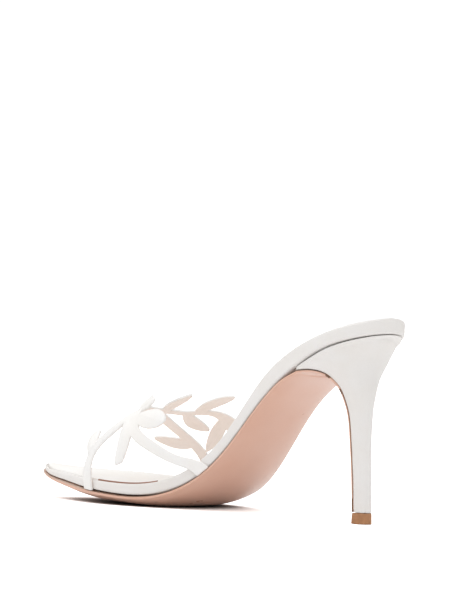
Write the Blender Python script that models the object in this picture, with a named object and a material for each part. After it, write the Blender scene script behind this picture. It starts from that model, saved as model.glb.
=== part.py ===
"""High-heeled mule for the right foot, with two crossed leather branches as its upper.

The shoe stands on its forefoot and heel, toe towards -Y, inner side towards +X.
Lengths in the tables are millimetres; meshes are made in metres.
"""
import bpy
import numpy as np
from mathutils import Vector
from mathutils.geometry import delaunay_2d_cdt

MM = 0.001
GAP = 0.3               # air between two pieces that touch on the real shoe

# ---- driving dimensions ---------------------------------------------------
LENGTH = 215.0          # back of the seat to the tip of the toe, along the floor
HEEL_RISE = 91.9        # underside of the footbed at the back of the seat
SEAT_ROUND = 28.0       # length over which the back of the seat rounds off
TOE_ROUND = 17.0        # length over which the tip rounds off
TOE_SWING = 24.0        # how far the tip lies to the inner side of the seat's centre
SWING_START = 0.60      # share of the length where that swing begins
WELT = 0.5              # outsole edge beyond the footbed's side
SOLE_FULLNESS = 3.0     # exponent of the outsole's rounded underside
SOLE_TO_BREAST = 52.0   # where the outsole leaves the footbed for the heel's breast
BREAST_EDGE = 0.9       # thickness of the sole's edge on the breast
BREAST_CROWN = 1.8      # fullness of the sole at the top of the breast
FOOTBED_ROLL = 1.3      # radius of the footbed's upper edge
FOOTBED_FOOT = 0.35     # radius of its lower edge
RECESS = 1.5            # depth of the hollow inside the rim, where the sock lining lies
RECESS_START = 0.5      # how far from the ends of the footbed the recess begins
SEAT_DISH = 0.9         # hollow of the footbed under the heel of the foot
LINING_INSET = 1.75     # from the footbed's edge to the sock lining's
LINING_THICK = 1.7
LINING_CROWN = 0.85     # how much thicker it is along its middle
HEEL_INSET = 1.3        # how far the heel's top stands inside the footbed's edge
TOP_PIECE_HEIGHT = 5.3  # heel's rubber tip
TOP_PIECE_FLARE = 0.35  # its foot is wider than the heel by this much all round
TOP_PIECE_AHEAD = 0.6   # its front covers the end of the sole's breast
STRAP_WALL = 1.2        # leather and lining of the upper
LEAF_FOLD = 0.7         # height of a leaf's midrib over its edges

# ---- sole: a row for each section, at its share of the length -------------
SOLE_COLUMNS = ("share", "rise", "inner", "outer", "rand", "edge", "crown")
SOLE_ROWS = (
    (0.00, HEEL_RISE, 26.0, 23.6, 7.3, 1.0, 1.6),
    (0.15, 80.1, 24.0, 23.4, 8.0, 1.0, 1.8),
    (0.25, 68.4, 19.8, 21.8, 10.8, 1.0, 2.2),
    (0.35, 51.6, 16.6, 23.8, 11.7, 1.1, 2.6),
    (0.45, 26.6, 18.6, 27.1, 8.8, 1.2, 3.0),
    (0.55, 10.0, 26.0, 32.2, 7.1, 1.3, 3.9),
    (0.65, 5.0, 34.9, 36.0, 6.4, 1.4, 4.6),
    (0.72, 5.7, 37.8, 37.5, 5.9, 1.4, 4.5),
    (0.80, 7.2, 33.6, 34.8, 5.3, 1.9, 4.9),
    (0.88, 9.5, 25.0, 27.5, 4.4, 1.9, 3.1),
    (0.95, 11.6, 16.5, 19.0, 3.2, 1.1, 1.2),
    (1.00, 14.9, 12.2, 12.0, 2.2, 0.9, 0.4),
)

# ---- heel: a row for each section, from the seat down to the top piece ----
HEEL_COLUMNS = ("front", "front_rise", "back", "back_rise", "half_width", "straight", "seat")
HEEL_ROWS = (
    (45.0, 71.75, 0.0, 91.0, 20.9, 0.45, 1.00),
    (44.6, 71.90, 4.3, 89.7, 20.9, 0.45, 0.45),
    (43.4, 72.20, 5.3, 88.5, 20.8, 0.45, 0.14),
    (40.6, 72.55, 6.9, 86.1, 20.6, 0.45, 0.02),
    (36.1, 72.90, 9.8, 82.6, 20.0, 0.44, 0.00),
    (31.4, 72.40, 11.8, 78.8, 18.2, 0.42, 0.00),
    (28.4, 70.90, 13.0, 75.0, 15.6, 0.40, 0.00),
    (26.3, 68.20, 13.5, 71.0, 12.7, 0.38, 0.00),
    (24.5, 64.60, 13.3, 66.8, 9.9, 0.36, 0.00),
    (23.4, 59.80, 13.2, 61.6, 7.8, 0.34, 0.00),
    (22.4, 55.00, 13.5, 56.0, 6.3, 0.33, 0.00),
    (21.5, 49.00, 13.5, 49.5, 5.4, 0.32, 0.00),
    (20.9, 41.00, 13.4, 41.0, 4.8, 0.32, 0.00),
    (19.9, 30.00, 12.8, 30.0, 4.4, 0.34, 0.00),
    (18.8, 17.00, 12.1, 17.0, 4.2, 0.36, 0.00),
    (18.1, 5.60, 11.4, 5.6, 4.2, 0.38, 0.00),
)

# ---- last above the footbed, over which the straps are drawn --------------
LAST_COLUMNS = ("share", "height", "ridge", "inner_fullness", "outer_fullness")
LAST_ROWS = (
    (0.45, 58.0, 4.0, 2.2, 2.5),
    (0.55, 51.0, 5.0, 2.1, 2.5),
    (0.65, 43.0, 8.0, 2.0, 2.3),
    (0.72, 36.0, 10.5, 2.0, 2.0),
    (0.77, 29.0, 12.5, 2.0, 2.0),
    (0.83, 22.5, 15.0, 2.0, 2.0),
    (0.90, 16.0, 18.0, 2.0, 2.0),
)

# ---- upper: places on the last as (along the shoe, girth from its ridge) ---
# A girth is positive to the inner side.  FOOT stands for the edge of the sole.
FOOT = 200.0
BRANCHES = {            # rows of along, girth, width and turn, the lift of its toe side
    "front_to_outer": (
        (164.3, FOOT, 5.0, 0.0),
        (167.2, 42.0, 4.8, 0.0),
        (167.3, 33.5, 4.4, 0.6),
        (163.5, 27.6, 4.2, 1.6),
        (157.5, 23.7, 4.0, 1.8),
        (153.5, 15.5, 4.0, 0.9),
        (155.0, 3.5, 4.0, 0.0),
        (154.5, -10.0, 3.2, 0.0),
        (150.5, -21.0, 3.0, 0.0),
        (142.3, -27.9, 3.0, 0.0),
        (137.5, -34.3, 5.4, 0.0),
        (134.5, -43.0, 9.0, 0.0),
        (132.5, -FOOT, 9.0, 0.0),
    ),
    "back_to_outer": (
        (101.0, FOOT, 4.8, 0.0),
        (109.3, 61.4, 3.8, 0.0),
        (119.3, 51.2, 3.5, 0.0),
        (133.5, 38.1, 4.4, 0.0),
        (144.0, 28.5, 4.6, 0.0),
        (151.0, 14.0, 4.6, 0.0),
        (157.0, -6.0, 4.4, 0.0),
        (161.6, -25.0, 4.4, 0.0),
        (161.5, -37.0, 4.6, 0.0),
        (159.3, -47.0, 4.8, 0.0),
        (156.5, -FOOT, 6.0, 0.0),
    ),
}
LEAF_COLUMNS = (
    "base_along", "base_girth", "tip_along", "tip_girth", "width", "bend", "lift", "turn", "blunt"
)
LEAF_ROWS = (
    (166.5, 32.0, 177.0, 9.6, 5.4, 0.4, 1.0, 0.0, 0.3),
    (152.0, 20.0, 147.6, 45.4, 6.2, 1.9, 0.3, 0.0, 0.6),
    (150.4, 13.0, 145.4, 6.4, 5.4, 0.0, 3.3, 1.2, 0.4),
    (147.0, 17.5, 128.0, 28.4, 10.0, 0.0, 0.6, 0.0, 0.25),
    (155.0, -10.0, 136.0, -7.4, 7.0, -0.8, 0.0, 0.0, 0.2),
    (147.5, -24.0, 124.8, -27.0, 6.2, -2.0, 0.0, 0.0, 0.1),
    (151.5, -20.5, 149.0, -38.7, 7.2, 2.4, 0.0, 0.0, 0.2),
    (136.0, -35.0, 156.0, -49.0, 7.2, 0.0, 0.0, 0.0, 0.1),
    (160.5, -43.0, 174.2, -26.0, 6.6, -1.6, 0.0, 0.0, 0.2),
)


def spline(places, values):
    """Natural cubic curve through the values at the given places."""
    x = np.asarray(places, float)
    y = np.asarray(values, float)
    step = np.diff(x)
    slope = np.diff(y) / step
    matrix = np.eye(len(x))
    right = np.zeros(len(x))
    for i in range(1, len(x) - 1):
        matrix[i, i - 1:i + 2] = step[i - 1], 2.0 * (step[i - 1] + step[i]), step[i]
        right[i] = 6.0 * (slope[i] - slope[i - 1])
    bend = np.linalg.solve(matrix, right)

    def curve(at):
        at = np.asarray(at, float)
        i = np.clip(np.searchsorted(x, at) - 1, 0, len(step) - 1)
        a = (x[i + 1] - at) / step[i]
        b = 1.0 - a
        sag = ((a**3 - a) * bend[i] + (b**3 - b) * bend[i + 1]) * step[i]**2 / 6.0
        return a * y[i] + b * y[i + 1] + sag

    return curve


def columns(names, rows, first=0):
    """A curve for each named column, over the column numbered first."""
    values = np.array(rows)
    return {name: spline(values[:, first], values[:, i]) for i, name in enumerate(names)}


SOLE = columns(SOLE_COLUMNS, SOLE_ROWS)
LAST = columns(LAST_COLUMNS, LAST_ROWS)
LEAVES = [dict(zip(LEAF_COLUMNS, row)) for row in LEAF_ROWS]
HEEL = np.array(HEEL_ROWS)
HEEL_CURVES = {name: spline(range(len(HEEL)), HEEL[:, i]) for i, name in enumerate(HEEL_COLUMNS)}


def rounding(along):
    """Share of the full width left where the seat and the toe round off."""
    seat = np.clip(1.0 - along / SEAT_ROUND, 0.0, 1.0)
    toe = np.clip((along - LENGTH + TOE_ROUND) / TOE_ROUND, 0.0, 1.0)
    return np.sqrt(1.0 - seat**2) * np.sqrt(1.0 - toe**2)


def outline(along, grow=0.0):
    """Along, inner side and outer side of the sole's outline, moved outwards by grow."""
    share = np.asarray(along, float) / LENGTH
    swing = TOE_SWING * np.clip((share - SWING_START) / (1.0 - SWING_START), 0.0, 1.0)**2
    full = rounding(share * LENGTH)
    moved = share * (LENGTH + 2.0 * grow) - grow
    inner = (SOLE["inner"](share) + grow) * full + swing
    outer = -(SOLE["outer"](share) + grow) * full + swing
    return moved, inner, outer


def stations(spacing):
    """Places along the shoe, closer together where its two ends round off."""
    turn = np.radians(np.arange(6.0, 90.0, 14.0))
    seat = SEAT_ROUND * (1.0 - np.cos(turn))
    toe = LENGTH - TOE_ROUND * (1.0 - np.cos(turn[::-1]))
    count = int((toe[0] - seat[-1]) / spacing)
    middle = np.linspace(seat[-1], toe[0], count + 1)[1:-1]
    return np.concatenate([seat, middle, toe])


def rise(along):
    """Height of the outsole's top, which the footbed lies on."""
    return SOLE["rise"](np.asarray(along, float) / LENGTH)


def at_share(name, along):
    return SOLE[name](np.asarray(along, float) / LENGTH)


# ---- meshes ------------------------------------------------------------------

def make_object(name, points, faces, material, angle=40.0):
    """A mesh object from (side, along, up) points in millimetres."""
    points = np.asarray(points, float)
    places = np.stack([points[:, 0], -points[:, 1], points[:, 2]], axis=1) * MM
    mesh = bpy.data.meshes.new(name)
    mesh.from_pydata([tuple(p) for p in places], [], faces)
    mesh.validate()
    mesh.materials.append(material)
    mesh.shade_smooth()
    mesh.set_sharp_from_angle(angle=np.radians(angle))
    part = bpy.data.objects.new(name, mesh)
    bpy.context.collection.objects.link(part)
    return part


def loft(rings):
    """Points and faces of a closed body through rings of equally many points."""
    rings = np.asarray(rings, float)
    count, size = rings.shape[:2]
    faces = [tuple(range(size))[::-1]]
    for k in range(count - 1):
        for i in range(size):
            j = (i + 1) % size
            faces.append((k * size + i, k * size + j, (k + 1) * size + j, (k + 1) * size + i))
    faces.append(tuple(range((count - 1) * size, count * size)))
    return rings.reshape(-1, 3), faces


def leather(name, colour, roughness, metallic=0.0):
    material = bpy.data.materials.new(name)
    material.use_nodes = True
    shader = material.node_tree.nodes["Principled BSDF"]
    shader.inputs["Base Color"].default_value = (*colour, 1.0)
    shader.inputs["Roughness"].default_value = roughness
    shader.inputs["Metallic"].default_value = metallic
    material.diffuse_color = (*colour, 1.0)
    return material


# ---- footbed and sock lining --------------------------------------------------


def footbed_top(along, across):
    """Height of the hollow in the footbed; across runs from -1, outer edge, to 1, inner edge."""
    dish = SEAT_DISH * np.clip(1.0 - along / (0.5 * LENGTH), 0.0, 1.0) * rounding(along)**2
    ends = (along > RECESS_START) & (along < LENGTH - RECESS_START)
    hollow = np.where(ends, RECESS, 0.0) + dish * (1.0 - across**2)
    return rise(along) + at_share("rand", along) - hollow


def footbed(material):
    """Board wrapped in leather, whose side is the band above the sole's edge."""
    rings = []
    for along in stations(6.5):
        moved, inner, outer = outline(along)
        middle = (inner + outer) / 2.0
        half = (inner - outer) / 2.0
        thick = at_share("rand", along) - GAP
        soft = min(FOOTBED_ROLL, 0.4 * half, 0.45 * thick)
        foot = min(FOOTBED_FOOT, 0.2 * half)
        low = rise(along) + GAP
        ring = []
        for side in (1.0, -1.0):
            edge = [
                (half - foot, low),
                (half, low + foot),
                (half, low + thick - soft),
                (half - 0.3 * soft, low + thick - 0.3 * soft),
                (half - soft, low + thick),
                (half - 1.1 * soft, float(footbed_top(along, 1.0))),
            ]
            arm = [(middle + side * reach, moved, height) for reach, height in edge]
            ring += arm if side > 0 else arm[::-1]
            if side > 0:
                for across in (0.5, 0.0, -0.5):
                    ring.append((middle + across * half, moved, float(footbed_top(along, across))))
        rings.append(ring)
    return make_object("footbed", *loft(rings), material)


def sock_lining(material):
    """Thin padded lining on the footbed, set in from its edge."""
    rings = []
    ends = LINING_INSET + np.array([0.15, 1.0])
    shared = [along for along in stations(6.5) if 3.5 < along < LENGTH - 3.5]
    for moved in np.concatenate([ends, shared, LENGTH - ends[::-1]]):
        along = (moved - LINING_INSET) / (1.0 - 2.0 * LINING_INSET / LENGTH)
        _, inner, outer = outline(along, -LINING_INSET)
        middle = (inner + outer) / 2.0
        half = (inner - outer) / 2.0
        lower = []
        upper = []
        for across in (1.0, 0.6, 0.2, -0.2, -0.6, -1.0):
            base = float(footbed_top(moved, across)) + GAP
            crown = LINING_THICK + LINING_CROWN * (1.0 - across**2) * rounding(moved)
            lower.append((middle + across * half, moved, base))
            upper.append((middle + across * (half - 0.1), moved, base + crown))
        rings.append(upper + lower[::-1])
    return make_object("sock_lining", *loft(rings), material)


# ---- outsole, heel and top piece ---------------------------------------------

def heel_at(place, name):
    return HEEL_CURVES[name](place)


def spine():
    """Upper side of the outsole as rows (along, up, inner, outer, edge, crown), from the toe."""
    rows = []
    for along in stations(6.5)[::-1]:
        if along < SOLE_TO_BREAST:
            break
        moved, inner, outer = outline(along, WELT)
        edge = at_share("edge", along)
        crown = at_share("crown", along) * rounding(along)
        rows.append((moved, rise(along), inner, outer, edge, crown))
    breast = np.linspace(0.0, len(HEEL) - 1.0, 2 * len(HEEL) - 1)
    for place in breast:
        down = place / (len(HEEL) - 1.0)
        half = heel_at(place, "half_width")
        lip = heel_at(place, "seat")
        along = heel_at(place, "front")
        moved, inner, outer = outline(along, -HEEL_INSET)
        inner = lip * inner + (1.0 - lip) * half
        outer = lip * outer - (1.0 - lip) * half
        crown = BREAST_CROWN * (1.0 - down)**2 + 0.1
        rows.append((along, heel_at(place, "front_rise"), inner, outer, BREAST_EDGE, crown))
    return np.array(rows)


def downward(line):
    """Unit normals of a run of (along, up) points, on the side that faces the floor."""
    run = np.gradient(line, axis=0)
    run /= np.linalg.norm(run, axis=1)[:, None]
    return np.stack([-run[:, 1], run[:, 0]], axis=1)


def outsole(material):
    """Leather sole from the toe to the heel's breast and down the breast to the top piece."""
    rows = spine()
    normal = downward(rows[:, :2])
    rings = []
    for (along, up, inner, outer, edge, crown), (lean, drop) in zip(rows, normal):
        middle = (inner + outer) / 2.0
        half = (inner - outer) / 2.0
        ring = [(outer, along, up), (inner, along, up)]
        for across in (1.0, 0.93, 0.8, 0.55, 0.25, 0.0, -0.25, -0.55, -0.8, -0.93, -1.0):
            deep = edge + crown * (1.0 - abs(across)**SOLE_FULLNESS)
            height = max(up + drop * deep, 0.0)
            ring.append((middle + across * half, along + lean * deep, height))
        rings.append(ring)
    return make_object("outsole", *loft(rings), material)


HEEL_TURN = 9


def heel_section(place):
    """One section of the heel as a ring, the flat front first, then round the back."""
    front, front_rise, back, back_rise, half, straight, seat = (
        float(heel_at(place, name)) for name in HEEL_COLUMNS
    )
    ring = []
    depth_share = [0.0, 0.2, straight]
    turn = np.linspace(0.0, np.pi / 2.0, HEEL_TURN + 1)[1:-1]
    depth_share += [straight + (1.0 - straight) * np.sin(t) for t in turn]
    depth_share.append(straight + (1.0 - straight) * np.sin(np.pi / 2.0 - 0.07))
    for share in depth_share:
        along = front + (back - front) * share
        up = front_rise + (back_rise - front_rise) * share
        round_off = np.sqrt(1.0 - max(0.0, (share - straight) / (1.0 - straight))**2)
        _, inner, outer = outline(max(along, 0.02), -HEEL_INSET)
        along += HEEL_INSET * seat * share
        inner = seat * inner + (1.0 - seat) * half * round_off
        outer = seat * outer - (1.0 - seat) * half * round_off
        seat_up = rise(along) - GAP
        bulge = seat_up - (rise(front) + (rise(back) - rise(front)) * share - GAP)
        ring.append((inner, outer, along, up + seat * bulge if place > 0 else seat_up))
    inner_arm = [(inner, along, up) for inner, outer, along, up in ring]
    outer_arm = [(outer, along, up) for inner, outer, along, up in ring]
    return inner_arm + outer_arm[::-1]


def heel(material):
    """Slender covered heel: a D in section, as wide as the seat at its top."""
    places = np.linspace(0.0, len(HEEL) - 1.0, 2 * len(HEEL) - 1)
    rings = np.array([heel_section(place) for place in places])
    front = np.stack([heel_at(places, "front"), heel_at(places, "front_rise")], axis=1)
    lean = downward(front)
    rings[:, 0, 1:] -= GAP * lean
    rings[:, -1, 1:] -= GAP * lean
    points, faces = loft(rings[::-1])
    size = rings.shape[1]
    top = range((len(rings) - 1) * size, len(rings) * size)
    faces.pop()
    for i in range(size // 2 - 1):
        a, b = top[i], top[i + 1]
        c, d = top[size - 2 - i], top[size - 1 - i]
        faces.append((a, b, c, d))
    return make_object("heel", points, faces, material)


def top_piece(material):
    """Tip of the heel, a D that covers the heel and the end of the sole's breast."""
    low = heel_section(len(HEEL) - 1.0)
    low = np.array(low)
    middle = low[:, :2].mean(axis=0)
    front = low[0, 1]
    rings = []
    for up, grow in ((0.0, 0.3), (0.6, TOP_PIECE_FLARE), (TOP_PIECE_HEIGHT, 0.1)):
        ring = []
        for side, along, _ in low:
            reach = np.array([side - middle[0], along - middle[1]])
            reach = reach / np.linalg.norm(reach)
            ahead = TOP_PIECE_AHEAD if along > front - 0.1 else 0.0
            ring.append((side + grow * reach[0], along + grow * reach[1] + ahead, up))
        rings.append(ring)
    return make_object("heel_top_piece", *loft(rings), material)


# ---- upper -------------------------------------------------------------------

LAST_FROM = 96.0
LAST_TO = 190.0
LEG = 2.0               # |place| at the foot of the strap
PAST_FOOT = 6.0         # how far a branch is drawn beyond its foot, before it is cut off there


class LastSurface:
    """The last as a grid of sections, with a place from -2 to 2 on each.

    From -1 to 1 a section crosses the last, outer edge to inner edge of the footbed;
    beyond that it runs down the footbed's side.
    """

    def __init__(self):
        self.along = np.arange(LAST_FROM, LAST_TO + 0.5, 1.0)
        self.place = np.linspace(-LEG, LEG, 161)
        self.points = np.array([self.section(along) for along in self.along])
        steps = np.linalg.norm(np.diff(self.points, axis=1), axis=2)
        girth = np.concatenate([np.zeros((len(self.along), 1)), np.cumsum(steps, axis=1)], axis=1)
        self.girth = girth - girth[:, [len(self.place) // 2]]
        across = np.gradient(self.points, axis=1)
        forward = np.gradient(self.points, axis=0)
        normal = np.cross(across, forward)
        self.normal = normal / np.linalg.norm(normal, axis=2)[:, :, None]

    def section(self, along):
        share = along / LENGTH
        _, inner, outer = outline(along)
        base = float(rise(along) + at_share("rand", along))
        foot = float(rise(along)) + GAP
        ridge = float(LAST["ridge"](share))
        height = float(LAST["height"](share))
        sides = {}
        for name, edge in (("inner", inner + GAP), ("outer", outer - GAP)):
            power = 2.0 / float(LAST[name + "_fullness"](share))
            turn = np.linspace(0.0, np.pi / 2.0, 200)
            side = ridge + (edge - ridge) * np.sin(turn)**power
            up = base + height * np.cos(turn)**power
            run = np.concatenate([[0.0], np.cumsum(np.hypot(np.diff(side), np.diff(up)))])
            even = np.linspace(0.0, run[-1], 41)
            arch = np.stack([np.interp(even, run, side), np.interp(even, run, up)], axis=1)
            leg = np.stack([np.full(40, edge), np.linspace(base, foot, 41)[1:]], axis=1)
            sides[name] = np.concatenate([arch, leg])
        line = np.concatenate([sides["outer"][:0:-1], sides["inner"]])
        return np.stack([line[:, 0], np.full(len(line), along), line[:, 1]], axis=1)

    def to_place(self, along, girth):
        """Place on the section of a girth in millimetres, carried on past the strap's foot."""
        row = np.clip(along - LAST_FROM, 0.0, len(self.along) - 1.001)
        i = int(row)
        mix = row - i
        run = (1.0 - mix) * self.girth[i] + mix * self.girth[i + 1]
        place = np.interp(girth, run, self.place)
        step = self.place[1] - self.place[0]
        place += max(girth - run[-1], 0.0) * step / (run[-1] - run[-2])
        place += min(girth - run[0], 0.0) * step / (run[1] - run[0])
        return float(place)

    def lookup(self, table, along, place):
        row = np.clip(along - LAST_FROM, 0.0, len(self.along) - 1.001)
        col = np.clip((place + LEG) / (2.0 * LEG) * (len(self.place) - 1), 0.0, len(self.place) - 1.001)
        i, j = int(row), int(col)
        a, b = row - i, col - j
        near = (1.0 - b) * table[i, j] + b * table[i, j + 1]
        far = (1.0 - b) * table[i + 1, j] + b * table[i + 1, j + 1]
        return (1.0 - a) * near + a * far

    def point(self, along, place, lift):
        normal = self.lookup(self.normal, along, place)
        return self.lookup(self.points, along, place) + lift * normal / np.linalg.norm(normal)


def smooth_line(rows, step):
    """Rows of numbers read off a smooth curve through them, about a step apart."""
    rows = np.asarray(rows, float)
    run = np.concatenate([[0.0], np.cumsum(np.hypot(*np.diff(rows[:, :2], axis=0).T))])
    at = np.linspace(0.0, run[-1], max(int(run[-1] / step), 4) + 1)
    return np.stack([spline(run, rows[:, i])(at) for i in range(rows.shape[1])], axis=1)


def sideways(line):
    run = np.gradient(line, axis=0)
    run /= np.linalg.norm(run, axis=1)[:, None]
    return np.stack([-run[:, 1], run[:, 0]], axis=1)


def branch_rows(last, rows):
    """A branch's rows with FOOT replaced by a point just past the strap's foot."""
    placed = []
    for along, girth, width, turn in rows:
        if abs(girth) == FOOT:
            i = int(along - LAST_FROM)
            girth = last.girth[i, -1] + PAST_FOOT if girth > 0 else last.girth[i, 0] - PAST_FOOT
        placed.append((along, girth, width, turn))
    return placed


def branch_shape(last, rows):
    """Outline of one stem and the points of its middle line, in along and girth."""
    line = smooth_line(branch_rows(last, rows), 2.0)
    off = sideways(line[:, :2]) * line[:, 2:3] / 2.0
    left = line[:, :2] + off
    right = line[:, :2] - off
    return np.concatenate([left, right[::-1]]), line[1:-1, :2]


def branch_turn(lines, along, girth):
    """How far the turn of a stem lifts a point: full at its sides, fading past them."""
    lift = 0.0
    for line in lines:
        away = np.array([along, girth]) - line[:, :2]
        i = int((away**2).sum(axis=1).argmin())
        aside = 2.0 * float(away[i] @ sideways(line[:, :2])[i]) / line[i, 2]
        fade = np.clip(1.5 - 0.5 * abs(aside), 0.0, 1.0)
        lift += line[i, 3] * np.clip(0.65 + 0.35 * aside, 0.0, 1.0) * fade
    return lift


LEAF_SHARES = (0.0, 0.06, 0.14, 0.23, 0.33, 0.44, 0.55, 0.66, 0.76, 0.85, 0.92, 0.97, 0.995)


def leaf_axis(leaf):
    """Base of a leaf and the way from there to its tip, in along and girth."""
    base = np.array([leaf["base_along"], leaf["base_girth"]])
    return base, np.array([leaf["tip_along"], leaf["tip_girth"]]) - base


def leaf_half(leaf, share):
    """Half the width of a leaf at a share of its length: slim at its base, blunt at its tip."""
    full = 1.0 - (1.9 * share - 0.9)**2
    return leaf["width"] / 2.0 * full**(0.8 - leaf["blunt"] * share)


def leaf_shape(leaf):
    """Outline of one leaf and the points inside it, in along and girth."""
    base, reach = leaf_axis(leaf)
    off = np.array([-reach[1], reach[0]]) / np.linalg.norm(reach)
    share = np.array(LEAF_SHARES)
    half = leaf_half(leaf, share)
    middle = base + share[:, None] * reach + (leaf["bend"] * np.sin(np.pi * share))[:, None] * off
    left = middle + half[:, None] * off
    right = middle - half[:, None] * off
    inside = [middle + part * half[:, None] * off for part in (-0.5, 0.0, 0.5)]
    return np.concatenate([left, right[::-1]]), np.concatenate([line[1:-1] for line in inside])


def leaf_lift(leaf, along, girth):
    """How far a leaf stands off the last at a point: it rises to its tip and to its midrib."""
    base, reach = leaf_axis(leaf)
    length = np.linalg.norm(reach)
    off = np.array([along, girth]) - base
    share = off @ reach / length**2
    if share < 0.0 or share > 1.0:
        return 0.0
    aside = (off[1] * reach[0] - off[0] * reach[1]) / length
    aside -= leaf["bend"] * np.sin(np.pi * share)
    half = leaf_half(leaf, min(share, 0.995))
    if abs(aside) > half + 0.1:
        return 0.0
    roof = LEAF_FOLD * np.sin(np.pi * share)**0.5 * max(1.0 - abs(aside) / half, 0.0)
    turn = leaf["turn"] * aside / half * min(3.0 * share, 1.0)
    return leaf["lift"] * share**1.3 + roof + turn


def clip(shape, limit):
    """The part of an outline whose second number lies between -limit and limit."""
    for sign in (1.0, -1.0):
        kept = []
        for a, b in zip(shape, np.roll(shape, -1, axis=0)):
            inside = sign * a[1] <= limit
            if inside:
                kept.append(a)
            if inside != (sign * b[1] <= limit):
                share = (sign * limit - a[1]) / (b[1] - a[1])
                kept.append(a + share * (b - a))
        shape = np.array(kept)
    return shape


PLACE_SCALE = 50.0      # makes places as long as alongs where shapes are joined


def flat_upper(last):
    """Triangles of both branches and their leaves joined, as alongs and places, with lifts."""
    shapes = [branch_shape(last, rows) for rows in BRANCHES.values()]
    shapes += [leaf_shape(leaf) for leaf in LEAVES]
    points = []
    faces = []
    for shape, inner in shapes:
        placed = np.array([(a, last.to_place(a, g) * PLACE_SCALE) for a, g in shape])
        placed = clip(placed, LEG * PLACE_SCALE)
        faces.append(list(range(len(points), len(points) + len(placed))))
        points += [tuple(p) for p in placed]
        for a, g in inner:
            place = last.to_place(a, g) * PLACE_SCALE
            if abs(place) < (LEG - 0.05) * PLACE_SCALE:
                points.append((a, place))
    flat = delaunay_2d_cdt([Vector(p) for p in points], [], faces, 1, 0.02)
    places = np.array([(v.x, v.y / PLACE_SCALE) for v in flat[0]])
    return places, [tuple(face) for face in flat[2]]


def upper(material):
    """Both branches and their leaves as one wall, joined where they cross."""
    last = LastSurface()
    lines = [smooth_line(branch_rows(last, rows), 1.0) for rows in BRANCHES.values()]
    places, triangles = flat_upper(last)
    inside = []
    outside = []
    for along, place in places:
        girth = last.lookup(last.girth, along, place)
        lift = max([leaf_lift(leaf, along, girth) for leaf in LEAVES])
        lift += branch_turn(lines, along, girth)
        inside.append(last.point(along, place, lift))
        outside.append(last.point(along, place, lift + STRAP_WALL))
    count = len(places)
    faces = []
    border = set()
    for a, b, c in triangles:
        faces.append((c, b, a))
        faces.append((a + count, b + count, c + count))
        for edge in ((a, b), (b, c), (c, a)):
            if edge[::-1] in border:
                border.remove(edge[::-1])
            else:
                border.add(edge)
    for a, b in border:
        faces.append((a, b, b + count, a + count))
    return make_object("upper", inside + outside, faces, material)


def stand_at_origin(parts):
    """Move every mesh so that the shoe's box stands on the origin by the middle of its foot."""
    places = [np.array([v.co for v in part.data.vertices]) for part in parts]
    every = np.concatenate(places)
    low, high = every.min(axis=0), every.max(axis=0)
    shift = Vector((-(low[0] + high[0]) / 2.0, -(low[1] + high[1]) / 2.0, 0.0))
    for part in parts:
        for vertex in part.data.vertices:
            vertex.co += shift


def main():
    for old in list(bpy.data.objects):
        bpy.data.objects.remove(old)
    white = leather("white leather", (0.86, 0.85, 0.83), 0.45)
    nude = leather("nude sole leather", (0.66, 0.43, 0.35), 0.4)
    lining = leather("lining leather", (0.80, 0.78, 0.75), 0.5)
    rubber = leather("tan rubber", (0.36, 0.21, 0.12), 0.5)
    strap = leather("white strap leather", (0.88, 0.87, 0.86), 0.45)
    parts = [
        upper(strap),
        footbed(white),
        sock_lining(lining),
        outsole(nude),
        heel(white),
        top_piece(rubber),
    ]
    stand_at_origin(parts)


main()
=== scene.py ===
"""Looks of a white high-heeled mule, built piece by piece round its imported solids.

Every piece starts as a merged copy of the solid it stands for, so its place and size are the
solid's own.  Lengths in the settings are metres, as Blender keeps them.
"""

import math

import bmesh
import bpy
from mathutils import Matrix, Vector


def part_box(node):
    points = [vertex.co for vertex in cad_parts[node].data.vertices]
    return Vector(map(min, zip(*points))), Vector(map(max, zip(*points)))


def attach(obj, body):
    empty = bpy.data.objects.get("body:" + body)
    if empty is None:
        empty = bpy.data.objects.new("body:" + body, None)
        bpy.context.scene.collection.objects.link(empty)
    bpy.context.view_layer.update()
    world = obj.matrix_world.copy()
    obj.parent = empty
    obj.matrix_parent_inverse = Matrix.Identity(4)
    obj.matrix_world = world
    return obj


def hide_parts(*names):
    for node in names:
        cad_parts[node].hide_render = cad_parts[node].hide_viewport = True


bl_info = {
    "name": "High-heeled mule",
    "version": (1, 0, 0),
    "blender": (4, 5, 0),
    "location": "View3D > Sidebar > Mule",
    "description": "Builds a leather mule with crossed leafy straps round its solids",
    "category": "Object",
}

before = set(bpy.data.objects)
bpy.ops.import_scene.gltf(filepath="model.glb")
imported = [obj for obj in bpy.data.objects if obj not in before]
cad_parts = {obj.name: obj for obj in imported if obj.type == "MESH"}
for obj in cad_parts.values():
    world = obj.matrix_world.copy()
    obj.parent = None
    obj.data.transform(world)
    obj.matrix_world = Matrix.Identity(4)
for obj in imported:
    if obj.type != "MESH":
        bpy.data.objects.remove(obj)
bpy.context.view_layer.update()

MM = 0.001
BODY = "root"

# Places along the shoe, the toe being negative.
TOE_TURNS = -80.0 * MM      # in front of this the sole's edge turns round the toe
PALE_EDGE_FROM = -58.0 * MM      # between these the sole's edge paint turns paler towards the toe
PALE_EDGE_TO = -67.0 * MM
EDGE_SHADE_FROM = -52.0 * MM       # between these the sock lining's cut edge stands free and is painted dark brown, partly as painted shade of the gap at its foot
EDGE_SHADE_TO = -20.0 * MM

# How faces are told apart by their normals.
UPRIGHT = 0.5               # the sides of a piece look up or down less than this
SIDEWAYS = 0.6              # the sole's sides look sideways more than this,
SIDEWAYS_AT_TOE = 0.2       # and at the toe more than this
INWARD = -0.25              # the straps' lining looks away from the foot less than this
FOOT_MIDDLE = 16.0 * MM     # height of the foot's middle under the straps

SUBDIVISIONS = 2
COVER_BUMP = 0.04 * MM
LINING_BUMP = 0.03 * MM


# ---- settings ------------------------------------------------------------------


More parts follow.
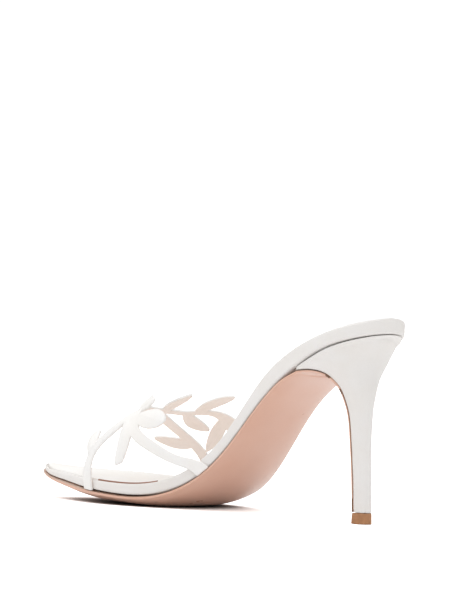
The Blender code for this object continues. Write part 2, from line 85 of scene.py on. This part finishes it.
def length(name, description, millimetres):
    """A length, given in millimetres and kept in metres."""
    return bpy.props.FloatProperty(
        name=name, description=description, default=millimetres * MM, min=0.0, unit="LENGTH"
    )


def colour(name, description, value):
    """A linear colour of three channels."""
    return bpy.props.FloatVectorProperty(
        name=name, description=description, default=value, size=3, min=0.0, max=1.0, subtype="COLOR"
    )


def angle(name, description, degrees):
    """An angle, given in degrees and kept in radians."""
    return bpy.props.FloatProperty(
        name=name, description=description, default=math.radians(degrees), subtype="ANGLE"
    )


def factor(name, description, value):
    """A plain positive number."""
    return bpy.props.FloatProperty(name=name, description=description, default=value, min=0.0)


class MuleSizes(bpy.types.PropertyGroup):
    """Small sizes that finish the solids."""

    strap_cell: length("Strap cell", "Cell of the mesh that rounds the straps' cut edges", 0.31)
    strap_fill: length("Strap fill", "Thickness given back to the straps after smoothing", 0.2)
    sole_crease: factor("Sole crease", "How crisp the sole's trimmed corners are", 0.8)
    sole_bands: bpy.props.IntProperty(
        name="Sole bands",
        description="Bands of the sole's edge, of which one is painted",
        default=4,
        min=2,
    )
    heel_crease: factor("Heel crease", "How crisp the leather folds over the heel's corners", 0.95)
    heel_cover: length("Heel cover", "How far the heel's leather stands out towards its neighbours", 0.1)
    tip_crease: factor("Tip crease", "How crisp the rubber tip's corners are", 0.75)
    sock_crease: factor("Sock crease", "How crisp the sock lining's edge is", 0.5)
    grain: length("Leather grain", "Distance between two grains of the smooth leather", 0.55)


class MuleColours(bpy.types.PropertyGroup):
    """Colours of the leathers, the edge paint and the rubber."""

    cover: colour("Cover", "White leather on the footbed and the heel", (0.81, 0.79, 0.775))
    strap: colour("Straps", "White leather on the outside of the straps", (0.88, 0.87, 0.86))
    lining: colour("Strap lining", "Thin leather inside the straps", (0.90, 0.80, 0.745))
    sock: colour("Sock lining", "Leather under the foot", (0.87, 0.86, 0.845))
    sole: colour("Sole", "Polished leather under the shoe", (0.74, 0.47, 0.365))
    paint: colour("Sole edge", "Paint on the edge of the sole", (0.16, 0.085, 0.05))
    # paler colour that the sole's edge paint takes on towards the toe
    pale_edge_tint: colour("Paler toe edge", "Edge of the sole where its paint is worn off", (0.52, 0.39, 0.31))
    rubber: colour("Rubber tip", "Hard rubber under the heel", (0.38, 0.18, 0.08))
    # the sock's dark cut edge: partly its own cut edge and glue, partly painted shade of the gap at its
    # foot
    edge_shade_tint: colour("Raw edge and shade", "Cut edge of the sock lining", (0.30, 0.15, 0.10))


class MuleStage(bpy.types.PropertyGroup):
    """Where the camera stands and how the studio is lit."""

    azimuth: angle("Azimuth", "Turn of the camera round the shoe", 134.8)
    elevation: angle("Elevation", "Height of the camera above the horizon", 1.9)
    roll: angle("Roll", "Tilt of the camera about its own axis", 2.36)
    distance: length("Distance", "From the camera to the point it aims by", 1600.0)
    side_light: factor("Side light", "Brightness of the room at eye level", 0.38)
    top_light: factor("Top light", "Brightness of the soft ceiling", 1.62)
    toe_light: factor("Toe light", "How much brighter the room is on the toe's side", 0.15)
    # floor_glow and contact set the floor's painted glow and painted shadow, which only the camera sees
    floor_glow: factor("Floor glow", "Light of the floor itself, where nothing stands close", 0.7)
    contact: length("Contact", "How near the shoe has to be for the floor to darken", 60.0)


# ---- mesh helpers ---------------------------------------------------------------


def pick(piece):
    """Makes one piece the only selected one, and the active one."""
    bpy.ops.object.select_all(action="DESELECT")
    piece.select_set(True)
    bpy.context.view_layer.objects.active = piece


def copy_of_solid(node, name):
    """A new piece with the solid's own mesh, its loose triangles merged."""
    piece = bpy.data.objects.new(name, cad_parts[node].data.copy())
    piece.data.name = name
    piece.data.materials.clear()
    bpy.context.scene.collection.objects.link(piece)
    pick(piece)
    bpy.ops.object.mode_set(mode="EDIT")
    bpy.ops.mesh.select_all(action="SELECT")
    bpy.ops.mesh.remove_doubles(threshold=1e-6)
    bpy.ops.object.mode_set(mode="OBJECT")
    return piece


def make_quads(piece):
    """Joins the triangles of a lofted body to the four-sided faces they came from."""
    pick(piece)
    bpy.ops.object.mode_set(mode="EDIT")
    bpy.ops.mesh.select_all(action="SELECT")
    bpy.ops.mesh.tris_convert_to_quads(face_threshold=math.radians(60), shape_threshold=math.pi)
    bpy.ops.object.mode_set(mode="OBJECT")


def apply_modifier(piece, kind, **values):
    """Adds one modifier, applies it and leaves nothing live."""
    pick(piece)
    modifier = piece.modifiers.new(kind.lower(), kind)
    for key, value in values.items():
        setattr(modifier, key, value)
    bpy.ops.object.modifier_apply(modifier=modifier.name)


def soften(piece):
    """Subdivides a piece smoothly."""
    apply_modifier(piece, "SUBSURF", levels=SUBDIVISIONS, render_levels=SUBDIVISIONS)
    bpy.ops.object.shade_smooth()


def crease_sharp(piece, crease, from_angle=40.0):
    """Keeps the edges that turn by more than from_angle degrees crisp when they are subdivided."""
    pick(piece)
    bpy.ops.object.mode_set(mode="EDIT")
    bpy.ops.mesh.select_mode(type="EDGE")
    bpy.ops.mesh.select_all(action="DESELECT")
    bpy.ops.mesh.edges_select_sharp(sharpness=math.radians(from_angle))
    bpy.ops.transform.edge_crease(value=crease)
    bpy.ops.object.mode_set(mode="OBJECT")


def dress(piece, node, slot, *materials):
    """Gives a finished piece its materials and its body, and hides its solid."""
    for material in materials:
        piece.data.materials.append(material)
    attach(piece, BODY)
    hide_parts(node)


# ---- material helpers ------------------------------------------------------------


class Nodes:
    """Short hand for laying nodes in a tree from left to right."""

    def __init__(self, tree):
        self.tree = tree
        self.column = 0

    def add(self, kind, inputs=None, **settings):
        node = self.tree.nodes.new(kind)
        node.location = (self.column * 200.0, 0.0)
        self.column += 1
        for key, value in settings.items():
            setattr(node, key, value)
        for key, value in (inputs or {}).items():
            if isinstance(value, bpy.types.NodeSocket):
                self.tree.links.new(value, node.inputs[key])
            else:
                node.inputs[key].default_value = value
        return node

    def maths(self, operation, first, second=0.0):
        return self.add("ShaderNodeMath", {0: first, 1: second}, operation=operation).outputs[0]

    def ramp(self, value, low, high, to_low=0.0, to_high=1.0):
        inputs = {"Value": value, "From Min": low, "From Max": high}
        inputs.update({"To Min": to_low, "To Max": to_high})
        node = self.add("ShaderNodeMapRange", inputs, clamp=True)
        return node.outputs["Result"]

    def mix(self, factor, first, second, blend="MIX"):
        node = self.add("ShaderNodeMix", data_type="RGBA", blend_type=blend)
        for number, value in ((0, factor), (6, first), (7, second)):
            if isinstance(value, bpy.types.NodeSocket):
                self.tree.links.new(value, node.inputs[number])
            else:
                node.inputs[number].default_value = value
        return node.outputs[2]


def new_group(name, inputs, outputs):
    """A shader node group with float, vector or colour sockets, and its two end nodes."""
    kinds = {"float": "NodeSocketFloat", "vector": "NodeSocketVector", "colour": "NodeSocketColor"}
    tree = bpy.data.node_groups.new(name, "ShaderNodeTree")
    for label, kind, default in inputs:
        socket = tree.interface.new_socket(label, in_out="INPUT", socket_type=kinds[kind])
        if default is not None:
            socket.default_value = default
    for label, kind in outputs:
        tree.interface.new_socket(label, in_out="OUTPUT", socket_type=kinds[kind])
    nodes = Nodes(tree)
    return tree, nodes, nodes.add("NodeGroupInput"), nodes.add("NodeGroupOutput")


def leather_grain_group():
    """Fine pebbled grain with scattered pores."""
    tree, nodes, start, end = new_group(
        "leather grain",
        [("Vector", "vector", None), ("Per metre", "float", 1800.0), ("Pores", "float", 0.3)],
        [("Height", "float"), ("Hollow", "float")],
    )
    place = start.outputs["Vector"]
    per_metre = start.outputs["Per metre"]
    warp = nodes.add(
        "ShaderNodeTexNoise", {"Vector": place, "Scale": nodes.maths("MULTIPLY", per_metre, 0.35)}
    )
    push = nodes.add(
        "ShaderNodeVectorMath", {0: warp.outputs["Color"], "Scale": 0.0006}, operation="SCALE"
    ).outputs[0]
    moved = nodes.add("ShaderNodeVectorMath", {0: place, 1: push}, operation="ADD").outputs[0]
    cells = nodes.add(
        "ShaderNodeTexVoronoi", {"Vector": moved, "Scale": per_metre}, feature="SMOOTH_F1"
    ).outputs["Distance"]
    round_tops = nodes.ramp(cells, 0.05, 0.75, 1.0, 0.0)
    small = nodes.add(
        "ShaderNodeTexNoise",
        {"Vector": moved, "Scale": nodes.maths("MULTIPLY", per_metre, 2.6), "Detail": 3.0},
    ).outputs["Fac"]
    pore_field = nodes.add(
        "ShaderNodeTexVoronoi",
        {"Vector": place, "Scale": nodes.maths("MULTIPLY", per_metre, 0.45)},
        feature="F1",
    ).outputs["Distance"]
    pore = nodes.maths("MULTIPLY", nodes.ramp(pore_field, 0.06, 0.13, 1.0, 0.0), start.outputs["Pores"])
    tops = nodes.maths("MULTIPLY", round_tops, 0.7)
    height = nodes.maths("ADD", tops, nodes.maths("MULTIPLY", small, 0.3))
    tree.links.new(nodes.maths("SUBTRACT", height, pore), end.inputs["Height"])
    hollow = nodes.maths("MAXIMUM", nodes.maths("SUBTRACT", 1.0, round_tops), pore)
    tree.links.new(hollow, end.inputs["Hollow"])
    return tree


def mottling_group():
    """Slow, soft change of tone over a hide, and where it is a little more polished."""
    tree, nodes, start, end = new_group(
        "mottling",
        [
            ("Vector", "vector", None),
            ("Per metre", "float", 60.0),
            ("Colour", "colour", (1, 1, 1, 1)),
            ("Warm", "colour", (1, 1, 1, 1)),
            ("Strength", "float", 0.5),
        ],
        [("Colour", "colour"), ("Polish", "float")],
    )
    broad = nodes.add(
        "ShaderNodeTexNoise",
        {"Vector": start.outputs["Vector"], "Scale": start.outputs["Per metre"], "Detail": 4.0},
    ).outputs["Fac"]
    patch = nodes.ramp(broad, 0.32, 0.68)
    factor = nodes.maths("MULTIPLY", patch, start.outputs["Strength"])
    toned = nodes.mix(factor, start.outputs["Colour"], start.outputs["Warm"])
    tree.links.new(toned, end.inputs["Colour"])
    tree.links.new(patch, end.inputs["Polish"])
    return tree


def scuff_group():
    """Hair-fine scratches that run along one axis of the vector."""
    tree, nodes, start, end = new_group(
        "fine scuffs",
        [("Vector", "vector", None), ("Per metre", "float", 900.0), ("Amount", "float", 0.5)],
        [("Scuff", "float")],
    )
    stretched = nodes.add(
        "ShaderNodeMapping", {"Vector": start.outputs["Vector"], "Scale": (1.0, 0.06, 0.4)}
    ).outputs[0]
    lines = nodes.add(
        "ShaderNodeTexNoise",
        {"Vector": stretched, "Scale": start.outputs["Per metre"], "Detail": 5.0, "Roughness": 0.7},
    ).outputs["Fac"]
    mask = nodes.ramp(lines, 0.62, 0.72)
    tree.links.new(nodes.maths("MULTIPLY", mask, start.outputs["Amount"]), end.inputs["Scuff"])
    return tree


def shared(name):
    """One of the shared node groups, made the first time it is asked for."""
    makers = {
        "leather grain": leather_grain_group,
        "mottling": mottling_group,
        "fine scuffs": scuff_group,
    }
    return bpy.data.node_groups.get(name) or makers[name]()


def use_group(nodes, name, **inputs):
    """Places a shared group; an input's name has _ where its socket has a space."""
    node = nodes.add("ShaderNodeGroup", node_tree=shared(name))
    for key, value in inputs.items():
        label = key.replace("_", " ")
        if isinstance(value, bpy.types.NodeSocket):
            nodes.tree.links.new(value, node.inputs[label])
        else:
            node.inputs[label].default_value = value
    return node


def new_material(name):
    """An empty material: its node helper, its Principled shader and object coordinates."""
    material = bpy.data.materials.new(name)
    material.use_nodes = True
    tree = material.node_tree
    shader = tree.nodes["Principled BSDF"]
    nodes = Nodes(tree)
    place = nodes.add("ShaderNodeTexCoord").outputs["Object"]
    return material, nodes, shader, place


def opaque(value, factor=1.0):
    """A colour with full alpha, made factor times as bright."""
    return (*(min(1.0, channel * factor) for channel in value), 1.0)


def mottled(nodes, place, per_metre, tint, warm, strength):
    """The mottling group with its values."""
    return use_group(
        nodes, "mottling", Vector=place, Per_metre=per_metre, Colour=tint, Warm=warm, Strength=strength
    )


def leather(name, tint, per_metre, roughness, depth, warm=(0.97, 0.95, 0.92), coat=0.0, pores=0.3):
    """Smooth leather: mottled colour, grain in the bump, hollows a little darker and duller."""
    material, nodes, shader, place = new_material(name)
    warm_tint = [a * b for a, b in zip(tint, warm)]
    tone = mottled(nodes, place, 55.0, opaque(tint), opaque(warm_tint), 0.8)
    grain = use_group(nodes, "leather grain", Vector=place, Per_metre=per_metre, Pores=pores)
    hollows = nodes.maths("MULTIPLY", grain.outputs["Hollow"], 0.06)
    dark = nodes.mix(hollows, tone.outputs["Colour"], opaque(warm_tint, 0.6))
    nodes.tree.links.new(dark, shader.inputs["Base Color"])
    gloss = nodes.ramp(tone.outputs["Polish"], 0.0, 1.0, roughness + 0.05, roughness - 0.04)
    rough = nodes.maths("ADD", gloss, nodes.maths("MULTIPLY", grain.outputs["Hollow"], 0.12))
    nodes.tree.links.new(rough, shader.inputs["Roughness"])
    bump = nodes.add(
        "ShaderNodeBump", {"Height": grain.outputs["Height"], "Strength": 0.25, "Distance": depth}
    )
    nodes.tree.links.new(bump.outputs["Normal"], shader.inputs["Normal"])
    shader.inputs["Coat Weight"].default_value = coat
    shader.inputs["Coat Roughness"].default_value = 0.25
    return material


def sole_leather(tint):
    """Polished sole leather: smooth, glossy, with fine fibres and a few hair scuffs."""
    material, nodes, shader, place = new_material("nude sole leather")
    warm = [tint[0] * 0.93, tint[1] * 0.84, tint[2] * 0.78]
    tone = mottled(nodes, place, 38.0, opaque(tint), opaque(warm), 0.7)
    fibre = use_group(nodes, "fine scuffs", Vector=place, Per_metre=2600.0, Amount=1.0)
    grain = use_group(nodes, "leather grain", Vector=place, Per_metre=2600.0, Pores=0.0)
    hollows = nodes.maths("MULTIPLY", grain.outputs["Hollow"], 0.12)
    toned = nodes.mix(hollows, tone.outputs["Colour"], opaque(warm, 0.75))
    scuffed = nodes.mix(
        nodes.maths("MULTIPLY", fibre.outputs["Scuff"], 0.03), toned, (0.86, 0.66, 0.55, 1.0)
    )
    nodes.tree.links.new(scuffed, shader.inputs["Base Color"])
    rough = nodes.ramp(tone.outputs["Polish"], 0.0, 1.0, 0.34, 0.27)
    rough = nodes.maths("ADD", rough, nodes.maths("MULTIPLY", fibre.outputs["Scuff"], 0.03))
    nodes.tree.links.new(rough, shader.inputs["Roughness"])
    bump = nodes.add(
        "ShaderNodeBump", {"Height": grain.outputs["Height"], "Strength": 0.12, "Distance": 0.00003}
    )
    nodes.tree.links.new(bump.outputs["Normal"], shader.inputs["Normal"])
    shader.inputs["Coat Weight"].default_value = 0.3
    shader.inputs["Coat Roughness"].default_value = 0.14
    return material


def edge_paint(tint, pale_edge_tint):
    """Brown edge paint over the layers of the cut leather, turning paler towards the toe."""
    material, nodes, shader, place = new_material("sole edge paint")
    layers = use_group(nodes, "fine scuffs", Vector=place, Per_metre=1500.0, Amount=1.0)
    tone = mottled(nodes, place, 300.0, opaque(tint), opaque(tint, 1.5), 0.8)
    worn = nodes.mix(
        nodes.maths("MULTIPLY", layers.outputs["Scuff"], 0.3), tone.outputs["Colour"], opaque(tint, 2.4)
    )
    along = nodes.add("ShaderNodeSeparateXYZ", {0: place}).outputs["Y"]
    # the sole's edge turns paler towards the toe
    at_toe = nodes.ramp(along, PALE_EDGE_TO, PALE_EDGE_FROM, 1.0, 0.0)
    nodes.tree.links.new(nodes.mix(at_toe, worn, opaque(pale_edge_tint)), shader.inputs["Base Color"])
    nodes.tree.links.new(
        nodes.ramp(tone.outputs["Polish"], 0.0, 1.0, 0.5, 0.38), shader.inputs["Roughness"]
    )
    bump = nodes.add(
        "ShaderNodeBump", {"Height": layers.outputs["Scuff"], "Strength": 0.3, "Distance": 0.00004}
    )
    nodes.tree.links.new(bump.outputs["Normal"], shader.inputs["Normal"])
    return material


def shaded_cut_edge(tint):
    """Raw, fibrous edge of cut leather, its dark brown partly painted shade of the gap at its foot."""
    material, nodes, shader, place = new_material("cut edge with painted shade")
    fibre = use_group(nodes, "fine scuffs", Vector=place, Per_metre=2400.0, Amount=1.0)
    fluffed = nodes.mix(
        nodes.maths("MULTIPLY", fibre.outputs["Scuff"], 0.5), opaque(tint), opaque(tint, 1.6)
    )
    nodes.tree.links.new(fluffed, shader.inputs["Base Color"])
    shader.inputs["Roughness"].default_value = 0.85
    bump = nodes.add(
        "ShaderNodeBump", {"Height": fibre.outputs["Scuff"], "Strength": 0.4, "Distance": 0.00005}
    )
    nodes.tree.links.new(bump.outputs["Normal"], shader.inputs["Normal"])
    return material


def tip_rubber(tint):
    """Hard tan rubber with a moulded, slightly speckled surface."""
    material, nodes, shader, place = new_material("tan tip rubber")
    tone = mottled(nodes, place, 400.0, opaque(tint), opaque(tint, 1.25), 0.6)
    speckle = nodes.add(
        "ShaderNodeTexVoronoi", {"Vector": place, "Scale": 2400.0}, feature="F1"
    ).outputs["Distance"]
    specks = nodes.ramp(speckle, 0.12, 0.3, 0.35, 0.0)
    spotted = nodes.mix(specks, tone.outputs["Colour"], opaque(tint, 0.55))
    nodes.tree.links.new(spotted, shader.inputs["Base Color"])
    nodes.tree.links.new(
        nodes.ramp(tone.outputs["Polish"], 0.0, 1.0, 0.62, 0.52), shader.inputs["Roughness"]
    )
    bump = nodes.add("ShaderNodeBump", {"Height": speckle, "Strength": 0.25, "Distance": 0.00005})
    nodes.tree.links.new(bump.outputs["Normal"], shader.inputs["Normal"])
    return material


def cover_leather(colours, sizes):
    """The white leather that footbed and heel share."""
    return bpy.data.materials.get("white cover leather") or leather(
        "white cover leather", colours.cover, 1.0 / sizes.grain, 0.42, COVER_BUMP, coat=0.05
    )


# ---- operators, one for each piece ------------------------------------------------


class MULE_OT_straps(bpy.types.Operator):
    """Both crossed branches with their leaves: cut leather, lined, in one piece"""

    bl_idname = "mule.straps"
    bl_label = "Crossed straps"

    def execute(self, context):
        sizes = context.scene.mule_sizes
        colours = context.scene.mule_colours
        straps = copy_of_solid("upper", "crossed_straps")
        apply_modifier(
            straps, "REMESH", mode="VOXEL", voxel_size=sizes.strap_cell, use_smooth_shade=True
        )
        apply_modifier(straps, "SMOOTH", factor=0.5, iterations=3)
        apply_modifier(straps, "DISPLACE", strength=sizes.strap_fill, mid_level=0.0)
        bpy.ops.object.shade_smooth()
        self.mark_lining(straps)
        outside = leather(
            "white strap leather", colours.strap, 1.0 / sizes.grain, 0.42, COVER_BUMP, coat=0.05
        )
        inside = leather(
            "strap lining leather", colours.lining, 1.2 / sizes.grain, 0.55, LINING_BUMP, pores=0.5
        )
        dress(straps, "upper", "strap_leather", outside, inside)
        return {"FINISHED"}

    def mark_lining(self, straps):
        """Gives the lining's material to the faces that look at the foot."""
        low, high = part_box("footbed")
        for face in straps.data.polygons:
            foot = Vector(((low.x + high.x) / 2.0, face.center.y, FOOT_MIDDLE))
            outward = (face.center - foot).normalized()
            face.material_index = 1 if face.normal.dot(outward) < INWARD else 0


class MULE_OT_footbed(bpy.types.Operator):
    """Footbed wrapped in white leather"""

    bl_idname = "mule.footbed"
    bl_label = "Footbed"

    def execute(self, context):
        footbed = copy_of_solid("footbed", "wrapped_footbed")
        make_quads(footbed)
        soften(footbed)
        material = cover_leather(context.scene.mule_colours, context.scene.mule_sizes)
        dress(footbed, "footbed", "white_leather", material)
        return {"FINISHED"}


class MULE_OT_sock(bpy.types.Operator):
    """Padded sock lining, set in from the footbed's edge"""

    bl_idname = "mule.sock"
    bl_label = "Sock lining"

    def execute(self, context):
        sizes = context.scene.mule_sizes
        colours = context.scene.mule_colours
        sock = copy_of_solid("sock_lining", "padded_sock")
        make_quads(sock)
        crease_sharp(sock, sizes.sock_crease)
        for face in sock.data.polygons:
            inner_side = abs(face.normal.z) < UPRIGHT and face.normal.x > 0.0
            # painted shade: between these places the sock's inner cut edge takes the dark brown of the
            # gap's shadow, on top of its own cut-edge colour
            face.material_index = 1 if inner_side and EDGE_SHADE_FROM < face.center.y < EDGE_SHADE_TO else 0
        soften(sock)
        material = leather(
            "sock lining leather", colours.sock, 1.1 / sizes.grain, 0.5, LINING_BUMP, pores=0.6
        )
        dress(sock, "sock_lining", "lining_leather", material, shaded_cut_edge(colours.edge_shade_tint))
        return {"FINISHED"}


class MULE_OT_sole(bpy.types.Operator):
    """Leather sole with a painted edge, from the toe to the foot of the heel's breast"""

    bl_idname = "mule.sole"
    bl_label = "Sole"

    def execute(self, context):
        sizes = context.scene.mule_sizes
        colours = context.scene.mule_colours
        sole = copy_of_solid("outsole", "leather_sole")
        sole.data.materials.append(sole_leather(colours.sole))
        sole.data.materials.append(edge_paint(colours.paint, colours.pale_edge_tint))
        make_quads(sole)
        crease_sharp(sole, sizes.sole_crease, 33.0)
        self.paint_edge(sole, sizes.sole_bands)
        soften(sole)
        dress(sole, "outsole", "sole_leather")
        return {"FINISHED"}

    def is_side(self, face):
        """True for the upright faces round the sole; they turn away from x only at the toe."""
        at_toe = face.calc_center_median().y < TOE_TURNS
        sideways = SIDEWAYS_AT_TOE if at_toe else SIDEWAYS
        return abs(face.normal.z) < UPRIGHT and abs(face.normal.x) > sideways

    def paint_edge(self, sole, bands):
        """Cuts the sole's edge into bands and paints the one under the footbed."""
        pick(sole)
        bpy.ops.object.mode_set(mode="EDIT")
        bpy.ops.mesh.select_mode(type="EDGE")
        bpy.ops.mesh.select_all(action="DESELECT")
        bm = bmesh.from_edit_mesh(sole.data)
        for line in bm.edges:
            line.select_set(all(self.is_side(face) for face in line.link_faces))
        bmesh.update_edit_mesh(sole.data)
        bpy.ops.mesh.subdivide(number_cuts=bands - 1)
        bm = bmesh.from_edit_mesh(sole.data)
        for face in bm.faces:
            around = [other for line in face.edges for other in line.link_faces]
            under_footbed = any(other.normal.z > 0.0 and not self.is_side(other) for other in around)
            face.material_index = 1 if self.is_side(face) and under_footbed else 0
        bmesh.update_edit_mesh(sole.data)
        bpy.ops.object.mode_set(mode="OBJECT")


class MULE_OT_heel(bpy.types.Operator):
    """Slender heel covered in white leather"""

    bl_idname = "mule.heel"
    bl_label = "Heel"

    def execute(self, context):
        sizes = context.scene.mule_sizes
        colours = context.scene.mule_colours
        heel = copy_of_solid("heel", "covered_heel")
        make_quads(heel)
        crease_sharp(heel, sizes.heel_crease)
        apply_modifier(heel, "DISPLACE", strength=sizes.heel_cover, mid_level=0.0)
        soften(heel)
        dress(heel, "heel", "heel_leather", cover_leather(colours, sizes))
        return {"FINISHED"}


class MULE_OT_tip(bpy.types.Operator):
    """Rubber tip under the heel"""

    bl_idname = "mule.tip"
    bl_label = "Rubber tip"

    def execute(self, context):
        sizes = context.scene.mule_sizes
        colours = context.scene.mule_colours
        tip = copy_of_solid("heel_top_piece", "rubber_tip")
        make_quads(tip)
        crease_sharp(tip, sizes.tip_crease)
        soften(tip)
        dress(tip, "heel_top_piece", "top_piece_rubber", tip_rubber(colours.rubber))
        return {"FINISHED"}


# ---- stage -----------------------------------------------------------------------

AIM = Vector((-2.442, 7.887, 45.0)) * MM    # point by which the camera is placed
AIM_ASIDE = 16.4                            # where that point stands in the picture, from its
AIM_BELOW = 121.0                           # middle, as parts of PICTURE_HEIGHT
PICTURE_HEIGHT = 600.0
FOCAL_LENGTH = 3206.4                       # in the same parts
SENSOR = 36.0
TOE_LIGHT_FROM = (0.71, -0.70, 0.0)         # side on which the room is brighter
ROOM_SEEN = 1.05                            # brightness of the room where it is seen directly
FLOOR_SIZE = 80.0
FLOOR_DROP = 0.1 * MM                       # keeps the floor clear of the sole's flat spots
FAR_AWAY = 50.0                             # up to where the camera sees


class MULE_OT_stage(bpy.types.Operator):
    """White floor, a white room with a soft ceiling light, and the camera"""

    bl_idname = "mule.stage"
    bl_label = "Stage"

    def execute(self, context):
        stage = context.scene.mule_stage
        self.floor(stage)
        self.room(context.scene, stage)
        self.camera(context.scene, stage)
        context.scene.view_settings.view_transform = "Standard"
        return {"FINISHED"}

    def floor(self, stage):
        """A matt white floor with a painted shadow: for the camera alone its colour darkens where the
        shoe stands close, and elsewhere it glows with painted light.
        """
        bpy.ops.object.select_all(action="DESELECT")
        bpy.ops.mesh.primitive_plane_add(size=FLOOR_SIZE, location=(0.0, 0.0, -FLOOR_DROP))
        floor = bpy.context.object
        floor.name = "studio_floor"
        material, nodes, shader, place = new_material("white studio floor")
        tone = nodes.add("ShaderNodeTexNoise", {"Vector": place, "Scale": 3.0, "Detail": 2.0})
        white = nodes.mix(tone.outputs["Fac"], (0.92, 0.92, 0.92, 1.0), (0.94, 0.94, 0.94, 1.0))
        shader.inputs["Roughness"].default_value = 0.9
        shader.inputs["Specular IOR Level"].default_value = 0.0
        openness = nodes.add(
            "ShaderNodeAmbientOcclusion", {"Distance": stage.contact}, samples=16
        ).outputs["AO"]
        seen = nodes.add("ShaderNodeLightPath").outputs["Is Camera Ray"]
        # painted shadow: the floor's colour, as the camera sees it, darkens where the shoe stands close
        painted_shadow = nodes.ramp(openness, 0.0, 0.3, 0.1, 1.0)
        shade = nodes.add("ShaderNodeMix", {0: seen, 2: 1.0, 3: painted_shadow}).outputs[0]
        shaded = nodes.add("ShaderNodeVectorMath", {0: white, "Scale": shade}, operation="SCALE")
        nodes.tree.links.new(shaded.outputs[0], shader.inputs["Base Color"])
        # painted glow: the floor shines for the camera only, and not where the shoe stands close
        glow = nodes.maths("MULTIPLY", nodes.ramp(openness, 0.1, 0.55, 0.0, stage.floor_glow), seen)
        nodes.tree.links.new(glow, shader.inputs["Emission Strength"])
        nodes.tree.links.new(white, shader.inputs["Emission Color"])
        floor.data.materials.append(material)

    def room(self, scene, stage):
        """Light that grows from eye level to the ceiling; seen directly, the room is white."""
        world = bpy.data.worlds.new("white room")
        world.use_nodes = True
        background = world.node_tree.nodes["Background"]
        nodes = Nodes(world.node_tree)
        direction = nodes.add("ShaderNodeTexCoord").outputs["Generated"]
        up = nodes.add("ShaderNodeSeparateXYZ", {0: direction}).outputs["Z"]
        height = nodes.ramp(up, 0.0, 1.0, stage.side_light, stage.top_light)
        to_toe = nodes.add(
            "ShaderNodeVectorMath", {0: direction, 1: TOE_LIGHT_FROM}, operation="DOT_PRODUCT"
        ).outputs["Value"]
        lean = nodes.ramp(to_toe, -1.0, 1.0, 1.0 - stage.toe_light, 1.0 + stage.toe_light)
        light = nodes.maths("MULTIPLY", height, lean)
        seen = nodes.add("ShaderNodeLightPath").outputs["Is Camera Ray"]
        strength = nodes.add("ShaderNodeMix", {0: seen, 2: light, 3: ROOM_SEEN}, data_type="FLOAT")
        background.inputs["Color"].default_value = (1.0, 1.0, 1.0, 1.0)
        world.node_tree.links.new(strength.outputs[0], background.inputs["Strength"])
        scene.world = world

    def camera(self, scene, stage):
        """The camera, turned so that AIM stands at its place in the picture."""
        flat = math.cos(stage.elevation)
        back = Vector(
            (
                math.sin(stage.azimuth) * flat,
                -math.cos(stage.azimuth) * flat,
                math.sin(stage.elevation),
            )
        )
        turn = back.to_track_quat("Z", "Y").to_matrix()
        turn = turn @ Matrix.Rotation(stage.roll, 3, "Z")
        sight = Vector((AIM_ASIDE, -AIM_BELOW, -FOCAL_LENGTH)).normalized()
        aside = sight.rotation_difference(Vector((0.0, 0.0, -1.0))).to_matrix()
        bpy.ops.object.camera_add(location=AIM + back * stage.distance)
        camera = bpy.context.object
        camera.name = "camera"
        camera.rotation_mode = "QUATERNION"
        camera.rotation_quaternion = (turn @ aside).to_quaternion()
        camera.data.sensor_width = SENSOR
        camera.data.lens = FOCAL_LENGTH * SENSOR / PICTURE_HEIGHT
        camera.data.clip_end = FAR_AWAY
        scene.camera = camera


class VIEW3D_PT_mule(bpy.types.Panel):
    """Buttons that build the mule piece by piece"""

    bl_label = "High-heeled mule"
    bl_idname = "VIEW3D_PT_mule"
    bl_space_type = "VIEW_3D"
    bl_region_type = "UI"
    bl_category = "Mule"

    def draw(self, context):
        scene = context.scene
        for settings in (scene.mule_sizes, scene.mule_colours, scene.mule_stage):
            for name in settings.__annotations__:
                self.layout.prop(settings, name)
        for step in STEPS:
            self.layout.operator(step.bl_idname)


STEPS = (
    MULE_OT_straps,
    MULE_OT_footbed,
    MULE_OT_sock,
    MULE_OT_sole,
    MULE_OT_heel,
    MULE_OT_tip,
    MULE_OT_stage,
)
SETTINGS = {"mule_sizes": MuleSizes, "mule_colours": MuleColours, "mule_stage": MuleStage}


def register():
    """Makes the settings, the operators and the panel known to Blender."""
    for group in (*SETTINGS.values(), *STEPS, VIEW3D_PT_mule):
        bpy.utils.register_class(group)
    for name, group in SETTINGS.items():
        setattr(bpy.types.Scene, name, bpy.props.PointerProperty(type=group))


def unregister():
    """Takes back all that register made."""
    for name in SETTINGS:
        delattr(bpy.types.Scene, name)
    for group in (VIEW3D_PT_mule, *reversed(STEPS), *reversed(SETTINGS.values())):
        bpy.utils.unregister_class(group)


def main():
    """Builds every piece and the stage, in order."""
    register()
    for step in STEPS:
        group, name = step.bl_idname.split(".")
        getattr(getattr(bpy.ops, group), name)()


if __name__ == "__main__":
    main()
